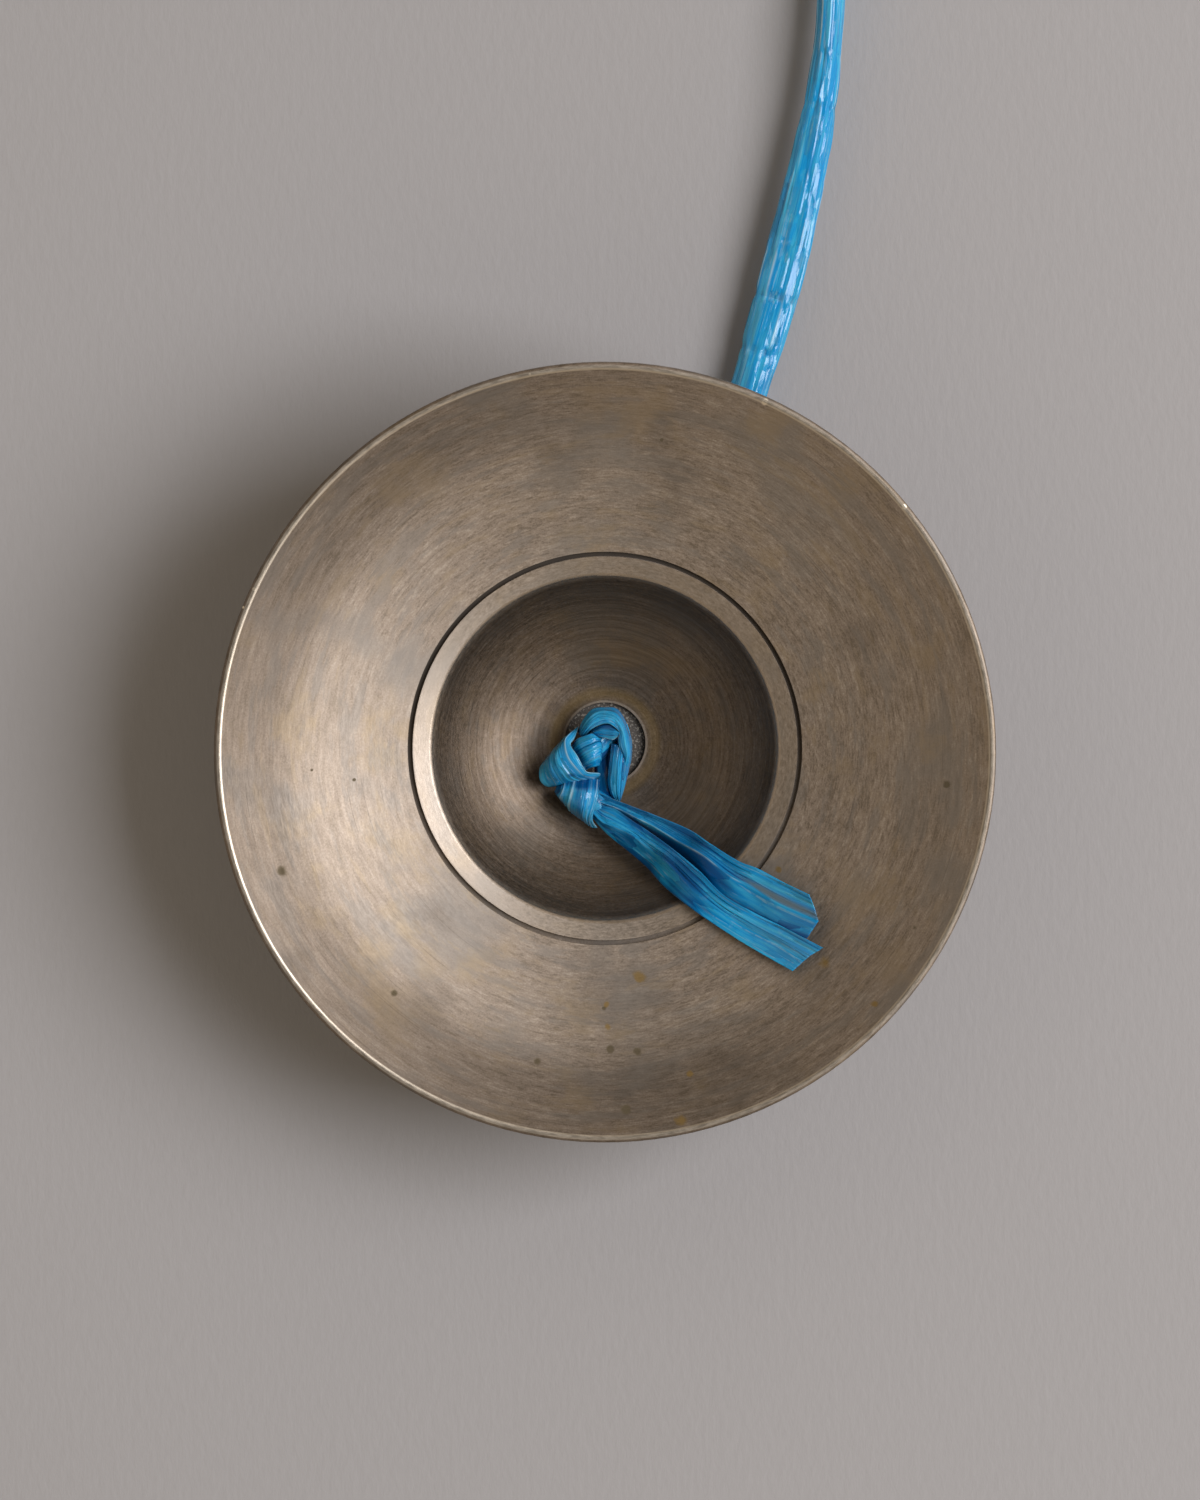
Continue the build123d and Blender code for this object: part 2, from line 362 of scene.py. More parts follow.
knotSheets = {  # lines of folded film in a cymbal's own mm, with the depth and painted shade, and the painted glint line, along each
    "sideHood": {
        "lines": [
            [(-2.22, 1.59, 6.0), (-2.55, 0.67, 7.0), (-2.89, 0.11, 7.6), (-2.32, -0.76, 8.1),
             (-1.72, -1.89, 8.1), (-1.35, -2.19, 7.9), (-0.41, -2.34, 7.1), (-0.71, -2.85, 6.3)],
            [(-2.33, 1.49, 5.9), (-3.01, 0.98, 7.1), (-3.38, 0.41, 7.6), (-3.08, -0.91, 8.15),
             (-2.1, -2.12, 8.05), (-1.65, -2.48, 7.8), (-0.93, -2.71, 7.2), (-1.12, -3.13, 6.1)],
            [(-3.39, 0.67, 5.8), (-3.8, 0.08, 7.1), (-4.06, -0.56, 7.7), (-3.98, -1.37, 7.95),
             (-3.45, -2.29, 7.85), (-3.08, -2.77, 7.4), (-2.55, -3.06, 6.8), (-2.71, -3.24, 6.0)],
            [(-4.45, -0.48, 5.6), (-4.65, -0.85, 6.8), (-4.72, -1.27, 7.25), (-4.62, -1.94, 7.45),
             (-4.32, -2.59, 7.25), (-4.1, -3.0, 6.8), (-3.97, -3.33, 6.3), (-4.07, -3.49, 5.7)],
            [(-5.35, -1.64, 5.3), (-5.46, -1.82, 5.9), (-5.52, -2.1, 6.2), (-5.53, -2.4, 6.3),
             (-5.5, -2.78, 6.2), (-5.35, -3.14, 6.0), (-5.05, -3.44, 5.7), (-4.73, -3.61, 5.3)],
            [(-5.13, -1.92, 4.6), (-5.21, -2.14, 4.7), (-5.24, -2.36, 4.8), (-5.24, -2.55, 4.8),
             (-5.21, -2.81, 4.8), (-5.09, -3.04, 4.8), (-4.91, -3.27, 4.7), (-4.68, -3.43, 4.6)],
        ],
        "depthAndShade": [-0.14, -0.1, -0.08, 0.0, 0.2, 0.8],
        "crease": [1.0, 0.8, 0.15, 0.2, 0.1, 0],
        "lightAndShadePatches": [(0.62, 0.33, 0.05, 0.05, 0.5), (0.86, 0.25, 0.1, 0.2, -0.2)],
        "fine": 9, "rows": 44, "pleat": 0.016,
    },
    "endHood": {
        "lines": [
            [(-3.84, -3.26, 5.4), (-4.07, -3.49, 5.8), (-4.19, -3.79, 5.9), (-4.26, -3.99, 5.7),
             (-4.13, -4.26, 5.2)],
            [(-3.35, -3.03, 6.4), (-3.47, -3.56, 7.0), (-3.67, -4.08, 7.05), (-3.8, -4.42, 6.6),
             (-3.68, -4.8, 5.4)],
            [(-2.52, -2.92, 6.9), (-2.69, -3.59, 7.6), (-2.91, -4.49, 7.65), (-3.01, -5.14, 7.0),
             (-2.92, -5.73, 5.5)],
            [(-1.8, -2.88, 7.0), (-1.95, -3.79, 7.85), (-2.14, -4.85, 7.85), (-2.21, -5.66, 7.1),
             (-2.09, -6.34, 5.6)],
            [(-1.12, -2.84, 7.0), (-1.23, -3.87, 7.85), (-1.5, -5.15, 7.85), (-1.61, -6.21, 6.9),
             (-1.41, -6.86, 5.7)],
            [(-0.63, -2.82, 6.8), (-0.73, -3.96, 7.7), (-1.05, -5.16, 7.7), (-1.33, -6.2, 7.0),
             (-1.11, -6.99, 5.8)],
            [(-0.41, -2.91, 6.5), (-0.55, -4.2, 7.4), (-0.91, -5.41, 7.4), (-1.03, -6.36, 6.8),
             (-0.62, -7.05, 5.8)],
        ],
        "depthAndShade": [0.45, 0.25, 0.25, 0.35, 0.3, 0.4, 0.25],
        "crease": [0.1, 0.9, 0.9, 0.3, 0.35, 0.7, 0.9],
        "lightAndShadePatches": [(0.1, 0.5, 0.12, 0.6, 0.5)],
        "fine": 7, "rows": 36, "pleat": 0.05,
    },
    "arch": {
        "lines": [
            [(-2.22, 0.87, 5.5), (-2.03, 1.76, 6.3), (-1.5, 2.65, 6.7), (-0.93, 3.14, 6.6),
             (0.08, 3.23, 6.7), (0.95, 3.12, 6.6), (1.51, 2.49, 6.5), (2.0, 1.31, 6.4), (2.28, 0.25, 6.3),
             (2.23, -1.2, 6.1), (1.97, -2.29, 5.7)],
            [(-2.16, 0.88, 6.2), (-1.84, 1.7, 7.1), (-1.31, 2.48, 7.5), (-0.71, 2.93, 7.5),
             (0.19, 3.01, 7.6), (0.95, 2.79, 7.6), (1.47, 2.14, 7.5), (1.89, 1.15, 7.4), (2.08, 0.23, 7.2),
             (2.08, -1.0, 6.9), (1.82, -2.1, 6.3)],
            [(-2.03, 0.84, 6.7), (-1.57, 1.57, 7.5), (-1.01, 2.16, 7.85), (-0.37, 2.54, 7.9),
             (0.31, 2.55, 8.0), (0.87, 2.29, 8.05), (1.32, 1.72, 8.0), (1.59, 0.95, 7.8), (1.7, 0.19, 7.6),
             (1.85, -0.9, 7.2), (1.59, -1.92, 6.6)],
            [(-1.8, 0.71, 6.4), (-1.27, 1.33, 7.3), (-0.75, 1.69, 7.6), (-0.07, 1.92, 7.8),
             (0.46, 1.88, 7.9), (0.89, 1.58, 7.95), (1.21, 1.18, 7.85), (1.13, 0.64, 7.6),
             (1.25, -0.14, 7.3), (1.66, -1.18, 6.9), (1.25, -2.17, 6.3)],
        ],
        "depthAndShade": [0.4, 0.35, 0.25, 0.45],
        "crease": [0.35, 0.1, 0.25, 0.6],
        "lightAndShadePatches": [
            (0.42, 0.8, 0.06, 0.2, -0.6), (0.2, 0.5, 0.1, 0.3, -0.25), (0.5, 0.15, 0.12, 0.3, 0.2),
            (0.72, 0.5, 0.1, 0.4, 0.2), (0.9, 0.6, 0.05, 0.3, -0.3),
        ],
        "fine": 10, "rows": 70, "pleat": 0.022,
    },
    "twist": {
        "lines": [
            [(-1.12, 1.28, 7.0), (-0.52, 1.68, 7.4), (0.08, 1.81, 7.6), (0.68, 1.74, 7.7),
             (1.23, 1.26, 7.7)],
            [(-1.01, 1.13, 7.1), (-0.45, 1.31, 7.5), (0.16, 1.32, 7.65), (0.68, 1.29, 7.8),
             (1.21, 1.15, 7.9)],
            [(-0.9, 0.92, 6.7), (-0.29, 0.74, 7.1), (0.31, 0.6, 7.3), (0.68, 0.54, 7.45), (1.04, 0.8, 7.7)],
        ],
        "depthAndShade": [0.95, 0.5, 0.4],
        "crease": [0, 0.1, 1.0],
        "lightAndShadePatches": [(0.9, 0.7, 0.12, 0.4, -0.6)],
        "fine": 8, "rows": 26, "pleat": 0.025,
    },
    "coreFolds": {
        "lines": [
            [(-2.82, 0.0, 6.5), (-2.25, 0.63, 7.0), (-1.65, 0.87, 7.2), (-1.09, 1.05, 7.2),
             (-0.81, 0.89, 6.8)],
            [(-2.63, -0.31, 7.0), (-2.03, 0.22, 7.5), (-1.35, 0.53, 7.75), (-0.71, 0.71, 7.5),
             (-0.35, 0.51, 6.9)],
            [(-2.52, -0.57, 7.0), (-1.95, -0.13, 7.45), (-1.27, 0.2, 7.65), (-0.6, 0.44, 7.45),
             (-0.29, 0.29, 6.9)],
            [(-2.33, -0.9, 7.2), (-1.76, -0.41, 7.75), (-1.08, -0.05, 7.95), (-0.41, 0.22, 7.6),
             (-0.2, -0.01, 6.9)],
            [(-2.1, -1.28, 7.1), (-1.5, -0.86, 7.7), (-0.97, -0.55, 7.85), (-0.41, -0.29, 7.45),
             (-0.25, -0.63, 6.8)],
            [(-1.88, -1.59, 7.0), (-1.42, -1.25, 7.5), (-0.9, -0.98, 7.65), (-0.45, -0.82, 7.2),
             (-0.29, -1.25, 6.5)],
            [(-1.65, -2.02, 6.3), (-1.2, -1.85, 6.8), (-0.82, -1.77, 6.8), (-0.56, -1.73, 6.4),
             (-0.43, -1.83, 5.8)],
        ],
        "depthAndShade": [0.28, 0, 0.42, 0.04, 0.42, 0.04, 0.42],
        "crease": [0.5, 0.1, 0.1, 0.25, 0.1, 0.5, 0.2],
        "lightAndShadePatches": [
            (0.05, 0.4, 0.12, 0.8, 0.5), (0.98, 0.5, 0.12, 0.6, 0.5), (0.62, 0.68, 0.12, 0.06, -0.8),
        ],
        "fine": 6, "rows": 26, "pleat": 0.018,
    },
    "rightRun": {
        "lines": [
            [(0.57, 0.21, 6.9), (0.46, -1.0, 6.85), (0.31, -2.15, 6.6), (0.25, -3.15, 6.3),
             (0.5, -4.17, 5.9), (0.91, -4.89, 5.4)],
            [(0.87, 0.16, 7.2), (0.72, -1.05, 7.2), (0.61, -2.16, 7.0), (0.55, -3.21, 6.6),
             (0.72, -4.14, 6.2), (1.03, -4.83, 5.6)],
            [(1.29, 0.01, 7.25), (1.14, -1.11, 7.35), (1.06, -2.19, 7.15), (1.02, -3.27, 6.8),
             (1.06, -4.17, 6.4), (1.21, -4.78, 5.8)],
            [(1.66, -0.39, 6.9), (1.59, -1.52, 7.0), (1.48, -2.36, 6.8), (1.36, -3.4, 6.5),
             (1.29, -4.23, 6.1), (1.28, -4.78, 5.6)],
            [(2.04, -0.97, 6.2), (2.06, -1.8, 6.2), (1.93, -2.56, 6.1), (1.68, -3.56, 5.9),
             (1.46, -4.27, 5.6), (1.31, -4.8, 5.2)],
        ],
        "depthAndShade": [0.55, 0.35, 0.25, 0.45, 0.4],
        "crease": [0.3, 0.1, 0.15, 0.2, 0.3],
        "lightAndShadePatches": [(0.02, 0.4, 0.12, 0.5, 0.4), (0.95, 0.5, 0.1, 0.6, 0.3)],
        "fine": 8, "rows": 40, "pleat": 0.03,
    },
}
knotStrands = {  # bunched film that shows in the gaps between the sheets, darkened with painted shade for those gaps
    "heart": {
        "line": [
            (-4.6, -2.4, 5.2), (-3.2, -1.7, 5.8), (-1.6, -0.8, 6.2), (-0.5, -0.1, 6.2), (0.5, 0.9, 6.0),
        ],
        "widths": [1.4, 2.3, 2.4, 2.2, 1.6],
        "heights": [1.2, 1.9, 2.0, 1.8, 1.4],
        "up": (0.1, -0.1, 1), "columns": 32, "foldShade": 0.6,
    },
    "archHeart": {
        "line": [
            (-1.9, 0.9, 5.8), (-1.2, 2.1, 6.3), (-0.1, 2.6, 6.5), (0.9, 2.2, 6.5), (1.5, 1.1, 6.4),
            (1.7, -0.3, 6.3), (1.5, -2.0, 6.0),
        ],
        "widths": [0.9, 1.2, 1.3, 1.3, 1.2, 1.1, 0.8],
        "heights": [0.9, 1.2, 1.3, 1.3, 1.2, 1.1, 0.8],
        "up": (0, 0, 1), "columns": 26, "foldShade": 0.5,
    },
    "innerRun": {
        "line": [(0.0, 0.9, 5.5), (-0.1, -1.2, 5.5), (-0.05, -3.0, 5.4), (0.2, -4.6, 5.1)],
        "widths": [1.6, 1.6, 1.6, 1.4],
        "heights": [1.3, 1.3, 1.3, 1.1],
        "up": (0, 0, 1), "columns": 28, "foldShade": 0.8,
    },
    "endHeart": {
        "line": [(-3.6, -4.0, 5.2), (-2.2, -4.5, 5.6), (-0.8, -5.0, 5.8), (0.3, -5.3, 5.7)],
        "widths": [1.4, 2.4, 2.6, 1.8],
        "heights": [1.0, 1.6, 1.7, 1.2],
        "up": (0, 0, 1), "columns": 32, "foldShade": 0.6,
    },
    "shank": {
        "line": [(-0.1, -0.5, 5.6), (0, -0.1, 4.6), (0, 0, 3.4), (0, 0, 2.0), (0, 0, 0.9)],
        "widths": [3.2, 3.3, 3.3, 3.3, 2.4],
        "heights": [3.0, 3.2, 3.3, 3.3, 2.4],
        "up": (1, 0, 0), "columns": 40, "foldShade": 0.6,
    },
}
knotLook = {
    "pleat": 0.06,
    "crisp": 14,
    "wall": 0.00006,
    "sheetSeed": 31,
    "strandSeed": 11,
    "strandSteps": 8,
    "strandCrumple": {"share": 0.7, "around": 0.5, "along": 0.6},
    "strandValleyShade": 0.3,
}
tailLook = {
    "lowerTail": {
        "lines": [
            [(-1.41, -4.18, 6.2), (-0.27, -4.98, 6.4), (0.88, -5.36, 6.7), (2.35, -6.33, 7.25),
             (3.69, -7.15, 7.95), (5.69, -8.49, 9.55), (7.94, -10.23, 11.25), (9.94, -12.18, 11.85),
             (12.46, -13.6, 12.45), (15.23, -14.91, 13.35), (18.26, -16.42, 14.35)],
            [(-1.35, -4.85, 6.3), (-0.34, -5.85, 6.5), (0.81, -6.43, 6.85), (2.35, -7.19, 7.45),
             (3.69, -8.07, 8.15), (5.49, -9.23, 9.6), (7.68, -11.16, 11.25), (9.67, -12.92, 11.8),
             (12.13, -14.4, 12.4), (14.77, -15.72, 13.3), (17.27, -16.99, 14.3)],
            [(-1.28, -5.39, 6.35), (-0.2, -6.47, 6.65), (1.14, -7.04, 7.05), (2.49, -7.71, 7.65),
             (4.09, -8.93, 8.35), (5.36, -9.83, 9.65), (7.41, -11.9, 11.2), (9.47, -13.53, 11.75),
             (11.93, -15.01, 12.35), (14.51, -16.26, 13.25), (16.61, -17.54, 14.2)],
            [(-1.21, -5.95, 6.1), (-0.13, -7.22, 6.25), (1.01, -8.2, 6.55), (2.35, -9.23, 7.15),
             (3.63, -10.32, 7.8), (5.02, -11.74, 9.25), (6.88, -13.12, 11.1), (9.01, -14.58, 11.65),
             (11.4, -16.08, 12.3), (13.77, -17.4, 13.2), (15.68, -18.4, 14.1)],
        ],
        "depthAndShade": [0.47, 0.36, 0.42, 0.46],
        "crease": [0.3, 0.0, 0.3, 0.35],
        "lightAndShadePatches": [
            (0.55, 0.42, 0.09, 0.28, 0.42), (0.33, 0.75, 0.12, 0.12, 0.2), (0.47, 0.9, 0.05, 0.12, -0.3),
            (0.2, 0.35, 0.09, 0.4, -0.25), (0.88, 0.45, 0.2, 0.6, -0.32), (0.42, 0.05, 0.2, 0.06, 0.25),
            (0.64, 0.85, 0.05, 0.12, 0.25),
        ],
        "haze": [(0.92, 0.5, 0.22, 0.7, 0.45)],
        "fine": 14, "rows": 110, "pleat": 0.022, "gaps": (2, 3, 4, 6), "ragged": 0.006, "gap": 0.42,
    },
    "upperTail": {
        "lines": [
            [(-1.14, -3.79, 6.1), (-0.4, -4.11, 6.3), (1.08, -4.69, 6.6), (2.76, -5.29, 7.2),
             (4.23, -5.8, 7.9), (7.1, -6.9, 9.35), (8.88, -7.97, 10.95), (11.15, -9.34, 11.45),
             (12.87, -9.98, 12.1), (14.97, -11.03, 13.1), (17.08, -11.98, 14.05)],
            [(-1.14, -4.0, 6.0), (-0.38, -4.45, 6.2), (1.01, -5.0, 6.45), (2.69, -5.67, 7.05),
             (4.16, -6.22, 7.7), (6.7, -7.52, 9.1), (8.55, -8.52, 10.8), (10.81, -10.08, 11.35),
             (12.54, -10.96, 12.0), (14.78, -12.08, 13.0), (17.61, -13.32, 14.0)],
            [(-1.08, -4.25, 6.2), (-0.34, -4.81, 6.45), (1.08, -5.32, 6.8), (2.62, -6.05, 7.4),
             (3.96, -6.66, 8.1), (6.23, -7.92, 9.5), (8.21, -8.9, 11.15), (10.34, -10.53, 11.65),
             (12.33, -11.61, 12.25), (14.51, -12.84, 13.15), (17.85, -14.22, 14.05)],
            [(-1.01, -4.61, 5.9), (-0.27, -5.21, 6.05), (1.21, -5.93, 6.25), (2.76, -6.91, 6.75),
             (4.23, -7.94, 7.35), (6.24, -9.5, 8.75), (8.29, -11.09, 10.6), (10.21, -12.83, 11.3),
             (12.47, -14.11, 11.95), (14.71, -15.09, 12.9), (16.88, -15.66, 13.9)],
        ],
        "depthAndShade": [0.42, 0.5, 0.42, 0.7],
        "crease": [0.35, 0.0, 0.75, 0.0],
        "lightAndShadePatches": [
            (0.55, 0.8, 0.16, 0.14, 0.55), (0.53, 0.2, 0.09, 0.2, 0.3), (0.85, 0.78, 0.13, 0.1, -0.35),
            (0.85, 0.98, 0.25, 0.06, 0.5), (0.88, 0.15, 0.16, 0.25, -0.5), (0.3, 0.85, 0.12, 0.12, 0.25),
        ],
        "haze": [(0.88, 0.5, 0.14, 0.11, 0.7), (0.95, 0.5, 0.22, 0.7, 0.42)],
        "fine": 14, "rows": 110, "pleat": 0.02, "gaps": (2, 3, 4, 6), "ragged": 0.008, "gap": 0.22,
    },
    "crisp": 12,
    "wall": 0.00007,
}
sheetLook = {  # fine form of every folded sheet
    "gaps": (1, 1, 2, 2, 3),
    "headingStep": 0.02,
    "pleatFade": {"least": 0.6, "across": 0.37, "along": 0.22},
    "crumple": {"share": 0.5, "across": 5, "along": 0.3, "seed": 3},
    "raggedEnd": {"across": 11, "seed": 2, "power": 8},
    "valleyShade": 0.1,
    "creaseColumns": 1.5,
    "creaseBreaks": {"least": 0.65, "swing": 0.7, "across": 6, "along": 0.8},
    "layShift": 3.1,  # sheets don't share one grain
    "layRise": 0.3,
}


def patchValue(patch, along, across, power):  # a patch of a sheet, with a firmer rim at a higher power
    patchAlong, patchAcross, long, wide, value = patch
    away = ((along - patchAlong) / long) ** 2 + ((across - patchAcross) / wide) ** 2
    return value * exp(-away ** power)


def filmSheet(bm, look, seed, gap=None):  # folded film along its lines, with fine pleats between them
    lines, fine, rows = look["lines"], look["fine"], look["rows"]
    columns = (len(lines) - 1) * fine
    pleats = pleatPattern(columns, seed, closed=False, gaps=look.get("gaps", sheetLook["gaps"]))
    middle = [Vector(spot) for spot in lines[len(lines) // 2]]
    length = sum((b - a).length for a, b in zip(middle, middle[1:]))
    halfway = [Vector(line[len(line) // 2]) for line in lines]
    width = sum((b - a).length for a, b in zip(halfway, halfway[1:]))
    step, fade, crumple = sheetLook["headingStep"], sheetLook["pleatFade"], sheetLook["crumple"]
    ragged, breaks = sheetLook["raggedEnd"], sheetLook["creaseBreaks"]

    def place(column, row):
        across, along = column / columns, row / rows
        i = min(column // fine, len(lines) - 2)
        part = column / fine - i
        tear = noise.noise((across * ragged["across"], seed, ragged["seed"]))
        along += look.get("ragged", 0) * tear * along ** ragged["power"]
        run = along * length
        a, b = foldSpot(lines[i], along), foldSpot(lines[i + 1], along)
        spot = a.lerp(b, part)
        ahead = foldSpot(lines[i], along + step) - foldSpot(lines[i], along - step)
        swell = pleats[column]
        swell *= fade["least"] + noise.noise((column * fade["across"], run * fade["along"], seed))
        wave = noise.noise((across * crumple["across"], run * crumple["along"], seed + crumple["seed"]))
        swell += crumple["share"] * wave
        spot += (b - a).cross(ahead).normalized() * look["pleat"] * swell
        if gap is not None:
            spot.z = max(spot.z, hollowHeight(hypot(spot.x, spot.y)) + gap)
        # painted shade, and painted light where negative, along the sheet's lines, with the film's real
        # layered depth
        depthAndShade = look["depthAndShade"][i] * (1 - part) + look["depthAndShade"][i + 1] * part
        # painted shade in the pleat valleys
        depthAndShade += sheetLook["valleyShade"] * max(0, -swell)
        # painted shade where a patch is positive, painted highlight where it is negative
        depthAndShade += sum(patchValue(patch, along, across, 2) for patch in look.get("lightAndShadePatches", ()))
        # painted glint lines along the folded edges, broken up along their run
        reach = fine / sheetLook["creaseColumns"]
        crease = look["crease"][i] * max(0, 1 - part * reach)
        crease += look["crease"][i + 1] * max(0, 1 - (1 - part) * reach)
        broken = noise.noise((run * breaks["along"], across * breaks["across"], seed))
        crease *= breaks["least"] + breaks["swing"] * broken
        crease -= sum(patchValue(patch, along, across, 1) for patch in look.get("haze", ()))
        lay = (across * width + seed * sheetLook["layShift"], sheetLook["layRise"] * swell, run)
        return spot, lay, depthAndShade, crease

    filmGrid(bm, columns, rows, place)


def filmStrand(bm, look, seed):  # a bunched strand, pleated lengthwise and closed at both ends
    line = splineLine(look["line"], knotLook["strandSteps"])
    columns, last = look["columns"], len(line) + 1
    pleats, crumple = pleatPattern(columns, seed), knotLook["strandCrumple"]
    up = Vector(look["up"]).normalized()
    length = sum((b - a).length for a, b in zip(line, line[1:]))

    def place(column, row):
        share = min(max(row - 1, 0), last - 2) / (last - 2)
        centre, heading = spotOn(line, share)
        side = heading.cross(up).normalized()
        rise = side.cross(heading)
        column %= columns
        turn = 2 * pi * column / columns
        full = 0 if row in (0, last) else 1
        run = share * length
        wave = noise.noise((column * crumple["around"], run * crumple["along"], seed))
        swell = pleats[column] + crumple["share"] * wave
        grow = knotLook["pleat"] * swell
        x = full * cos(turn) * (between(look["widths"], share) / 2 + grow)
        y = full * sin(turn) * (between(look["heights"], share) / 2 + grow)
        # painted shade: the strand's set darkness in its gap, and more in its pleat valleys
        foldShade = look["foldShade"] + knotLook["strandValleyShade"] * max(0, -swell)
        return centre + side * x + rise * y, (x + seed, y, run), foldShade, 0

    filmGrid(bm, columns, last, place)


def filmTail(side, name, node):
    bm = startFilm()
    filmSheet(bm, tailLook[name], len(name), tailLook[name]["gap"])
    bmesh.ops.transform(bm, matrix=halfPlace(side), verts=bm.verts)
    film = finishFilm(bm, side + name[0].upper() + name[1:], tailLook["crisp"], tailLook["wall"])
    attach(film, side + "_knot")
    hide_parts(node)
    return film


def filmKnot(side):
    bm = startFilm()
    for seed, look in enumerate(knotSheets.values(), knotLook["sheetSeed"]):
        filmSheet(bm, look, seed)
    bmesh.ops.transform(bm, matrix=halfPlace(side), verts=bm.verts)
    film = finishFilm(bm, side + "KnotFilm", knotLook["crisp"], knotLook["wall"])
    bm = startFilm()
    for seed, look in enumerate(knotStrands.values(), knotLook["strandSeed"]):
        filmStrand(bm, look, seed)
    bmesh.ops.transform(bm, matrix=halfPlace(side), verts=bm.verts)
    heart = finishFilm(bm, side + "KnotHeart", knotLook["crisp"])
    for piece in (film, heart):
        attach(piece, side + "_knot")
    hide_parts(side + "_knot")
    return [film, heart]


filmPieces = [cordFilm] + list(spreads.values())
for side in ("near", "far"):
    filmPieces += filmKnot(side)
    for name, node in (("lowerTail", "_lower_tail"), ("upperTail", "_upper_tail")):
        filmPieces.append(filmTail(side, name, side + node))
print("knots and tails made")


def addNode(tree, kind, inputs, **fields):  # inputs: socket to a value or to another node's output
    made = tree.nodes.new("ShaderNode" + kind)
    for name, value in fields.items():
        setattr(made, name, value)
    for socket, value in inputs.items():
        if isinstance(value, bpy.types.NodeSocket):
            tree.links.new(value, made.inputs[socket])
        else:
            made.inputs[socket].default_value = value
    return made.outputs


def sums(tree, how, a, b):
    return addNode(tree, "Math", {0: a, 1: b}, operation=how)[0]


def times(tree, a, b):
    return sums(tree, "MULTIPLY", a, b)


def plus(tree, a, b):
    return sums(tree, "ADD", a, b)


def either(tree, a, b):
    return sums(tree, "MAXIMUM", a, b)


def vectors(tree, how, *parts):
    return addNode(tree, "VectorMath", dict(enumerate(parts)), operation=how)


def ramp(tree, value, low, high, floor=0, top=1):  # eased from floor to top as value goes from low to high
    ends = {0: value, 1: low, 2: high, 3: floor, 4: top}
    return addNode(tree, "MapRange", ends, interpolation_type="SMOOTHSTEP")[0]


def ringMask(tree, radius, low, high, soft):  # 1 between two radii
    inner = ramp(tree, radius, low - soft, low + soft)
    return times(tree, inner, ramp(tree, radius, high + soft, high - soft))


def tint(tree, share, under, over, how="MIX"):
    return addNode(tree, "Mix", {0: share, 6: under, 7: over}, data_type="RGBA", blend_type=how)[2]


def grain(tree, where, scale, detail=3, rough=0.55):
    fields = {"Vector": where, "Scale": scale, "Detail": detail, "Roughness": rough}
    return addNode(tree, "TexNoise", fields)[0]


def stretched(tree, where, scale):
    return addNode(tree, "Mapping", {"Vector": where, "Scale": scale})[0]


def startMaterial(name):
    finish = bpy.data.materials.new(name)
    finish.use_nodes = True
    tree = finish.node_tree
    return finish, tree, tree.nodes["Principled BSDF"]


filmFinish = {
    "deepShade": (0.0001, 0.066, 0.225, 1),
    "body": (0.003, 0.280, 0.650, 1),
    "pale": (0.060, 0.480, 0.700, 1),
    "worn": (0.220, 0.490, 0.690, 1),
    # colour of the painted glints along fold edges and ridges
    "edge": (0.480, 0.700, 0.800, 1),
    "haze": (0.110, 0.170, 0.215, 1),
    "grains": {  # scale across, through and along the film, then detail and roughness
        "fine": ((9, 9, 0.25), 4, 0.65),
        "broad": ((2.2, 2.2, 0.12), 2, 0.55),
        "thread": ((5.5, 5.5, 0.16), 2, 0.5),
    },
    "patch": (420, 4, 0.6),
    "cloud": (1500, 3, 0.6),
    "facets": [((0.9, 0.9, 0.22), 0.42), ((2.4, 2.4, 0.6), 0.12)],  # scale and tilt
    "facetShade": 0.6,
    "fineLift": 0.01,
    "wornShare": 0.4,
    "ranges": {  # where each tone sets in, where it is full, and its least and most
        "pale": (0.40, 0.72),
        "wornPatch": (0.58, 0.72),
        "wornCloud": (0.45, 0.6, 0.1, 1),
        "thread": (0.58, 0.66),
        "threadCloud": (0.38, 0.55, 0.1, 0.6),
        "lighter": (-0.05, -0.9),
        "broadDark": (0.5, 0.34, 0, 0.2),
        "depthAndShade": (0.05, 1.0),
        "haze": (-0.1, -1.0),
        "edge": (0.05, 1.0, 0, 0.85),
        "roughness": (0.35, 0.65, 0.06, 0.17),
    },
    "bump": 0.001,
    "ior": 1.52,
    "gloss": {"Film": 0.55, "Knot": 0.42, "Tail": 0.16},
}


